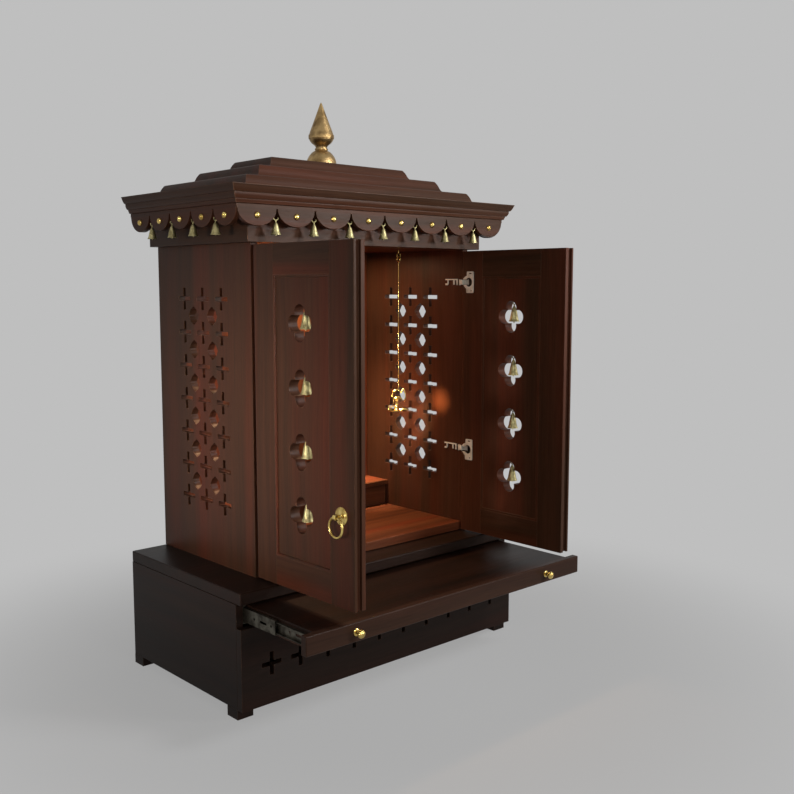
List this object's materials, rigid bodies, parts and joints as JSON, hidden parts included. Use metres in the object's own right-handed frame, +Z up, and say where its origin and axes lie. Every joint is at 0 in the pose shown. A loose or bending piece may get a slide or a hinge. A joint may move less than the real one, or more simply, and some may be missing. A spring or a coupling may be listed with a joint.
{
  "type": "pooja mandir",
  "caption": "Wooden pooja mandir cabinet with pierced sides, open double doors, a pull-out tray in its plinth, a stepped roof with a scalloped bell-hung valance and a brass finial.",
  "frame": {"origin": "on the floor, midway between the flat back and the free edges of the doors as they stand open, in the middle of the width", "axes": "+Z up, +Y towards the flat back, +X to the right of someone facing the doors"},
  "size_m": [0.9692, 0.8284, 1.548],
  "materials": {
    "cabinet_wood": "satin dark red-brown stain",
    "inner_wood": "satin red-brown stain",
    "plinth_wood": "satin very dark brown stain",
    "tray_wood": "satin dark brown stain",
    "brass": "polished",
    "aged_brass": "aged satin",
    "hinge_steel": "plated",
    "slide_steel": "zinc plated"
  },
  "bodies": {
    "cabinet": {"plinth_end_left": "plinth_wood", "plinth_end_right": "plinth_wood", "plinth_back": "plinth_wood", "plinth_bottom": "plinth_wood", "plinth_deck": "plinth_wood", "plinth_front_panel": "plinth_wood", "plinth_feet": "plinth_wood", "side_panel_left": "cabinet_wood", "side_panel_right": "cabinet_wood", "back_panel": "inner_wood", "cabinet_floor": "inner_wood", "step_riser": "inner_wood", "step_top": "inner_wood", "ceiling": "inner_wood", "header_front": "cabinet_wood", "header_left": "cabinet_wood", "header_right": "cabinet_wood", "crown_front": "cabinet_wood", "crown_left": "cabinet_wood", "crown_right": "cabinet_wood", "crown_soffit": "cabinet_wood", "crown_board": "cabinet_wood", "valance_front": "cabinet_wood", "valance_left": "cabinet_wood", "valance_right": "cabinet_wood", "valance_studs": "brass", "valance_bells": "brass", "roof_step_lower": "cabinet_wood", "roof_step_middle": "cabinet_wood", "roof_step_upper": "cabinet_wood", "finial": "aged_brass", "hinge_arms": "hinge_steel", "slide_outer": "slide_steel", "lamp_hook": "brass"},
    "door_left": {"door_left_frame": "cabinet_wood", "door_left_panel": "cabinet_wood", "door_left_bells": "brass", "door_left_hinge_cups": "hinge_steel", "door_left_pull_eye": "brass"},
    "door_right": {"door_right_frame": "cabinet_wood", "door_right_panel": "cabinet_wood", "door_right_bells": "brass", "door_right_hinge_cups": "hinge_steel", "door_right_pull_eye": "brass"},
    "pull_left": {"door_left_pull_ring": "brass"},
    "pull_right": {"door_right_pull_ring": "brass"},
    "tray": {"tray_front": "tray_wood", "tray_board": "tray_wood", "tray_runners": "tray_wood", "tray_knobs": "brass", "slide_inner": "slide_steel"},
    "slides": {"slide_middle": "slide_steel"},
    "lamp": {"hanging_lamp": "brass"}
  },
  "joints": [
    {"name": "door_left_hinge", "type": "hinge", "parent": "cabinet", "child": "door_left", "pos_m": [-0.364, -0.05275, 0.718], "axis": [0, 0, -1], "range_deg": [-90, 15]},
    {"name": "door_right_hinge", "type": "hinge", "parent": "cabinet", "child": "door_right", "pos_m": [0.364, -0.05275, 0.718], "axis": [0, 0, 1], "range_deg": [-90, 15]},
    {"name": "pull_left_swing", "type": "hinge", "parent": "door_left", "child": "pull_left", "pos_m": [-0.397, -0.36925, 0.534], "axis": [0, 1, 0], "range_deg": [-8, 85]},
    {"name": "pull_right_swing", "type": "hinge", "parent": "door_right", "child": "pull_right", "pos_m": [0.397, -0.36925, 0.534], "axis": [0, -1, 0], "range_deg": [-8, 85]},
    {"name": "tray_slide", "type": "slide", "parent": "cabinet", "child": "tray", "axis": [0, -1, 0], "range_m": [-0.255, 0.125]},
    {"name": "slides_extend", "type": "slide", "parent": "cabinet", "child": "slides", "axis": [0, -1, 0], "range_m": [-0.1275, 0.0625]},
    {"name": "lamp_swing", "type": "hinge", "parent": "cabinet", "child": "lamp", "pos_m": [0.27, 0.14825, 1.126], "axis": [1, 0, 0], "range_deg": [-12, 12]}
  ],
  "couplings": [
    {"joint": "slides_extend", "follows": "tray_slide", "ratio": 0.5}
  ]
}
